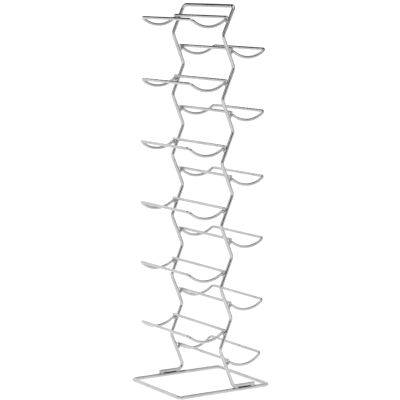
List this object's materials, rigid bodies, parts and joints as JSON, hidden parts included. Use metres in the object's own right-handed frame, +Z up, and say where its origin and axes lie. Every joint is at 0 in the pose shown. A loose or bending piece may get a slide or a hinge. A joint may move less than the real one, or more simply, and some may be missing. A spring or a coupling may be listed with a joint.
{
  "type": "wine rack",
  "caption": "Free-standing tower wine rack of bent chromed steel rod: zigzag uprights on a rectangular base ring, with wave-shaped bottle cradles reaching out alternately to both sides.",
  "frame": {"origin": "middle of the base ring's footprint, on the floor", "axes": "+Z up; +X the way the right-hand cradles reach out and the near foot points; +Y from the near upright to the far one, along the bottles"},
  "size_m": [0.244, 0.2088, 0.8509],
  "materials": {
    "frame_chrome": "bright chrome plate on round steel rod",
    "cradle_chrome": "bright chrome plate on thinner round steel wire",
    "weld_chrome": "chrome plate over weld metal, slightly uneven"
  },
  "bodies": {
    "root": {"zigzag_frame": "frame_chrome", "base_ring": "frame_chrome", "cradle_left_1": "cradle_chrome", "cradle_left_2": "cradle_chrome", "cradle_left_3": "cradle_chrome", "cradle_left_4": "cradle_chrome", "cradle_left_5": "cradle_chrome", "cradle_left_6": "cradle_chrome", "bottle_rail_left_1": "cradle_chrome", "bottle_rail_left_2": "cradle_chrome", "bottle_rail_left_3": "cradle_chrome", "bottle_rail_left_4": "cradle_chrome", "bottle_rail_left_5": "cradle_chrome", "bottle_rail_left_6": "cradle_chrome", "cradle_right_1": "cradle_chrome", "cradle_right_2": "cradle_chrome", "cradle_right_3": "cradle_chrome", "cradle_right_4": "cradle_chrome", "cradle_right_5": "cradle_chrome", "cradle_right_6": "cradle_chrome", "bottle_rail_right_1": "cradle_chrome", "bottle_rail_right_2": "cradle_chrome", "bottle_rail_right_3": "cradle_chrome", "bottle_rail_right_4": "cradle_chrome", "bottle_rail_right_5": "cradle_chrome", "bottle_rail_right_6": "cradle_chrome", "foot_welds": "weld_chrome", "hook_welds_left": "weld_chrome", "hook_welds_right": "weld_chrome", "rail_welds_left": "weld_chrome", "rail_welds_right": "weld_chrome"}
  },
  "joints": []
}
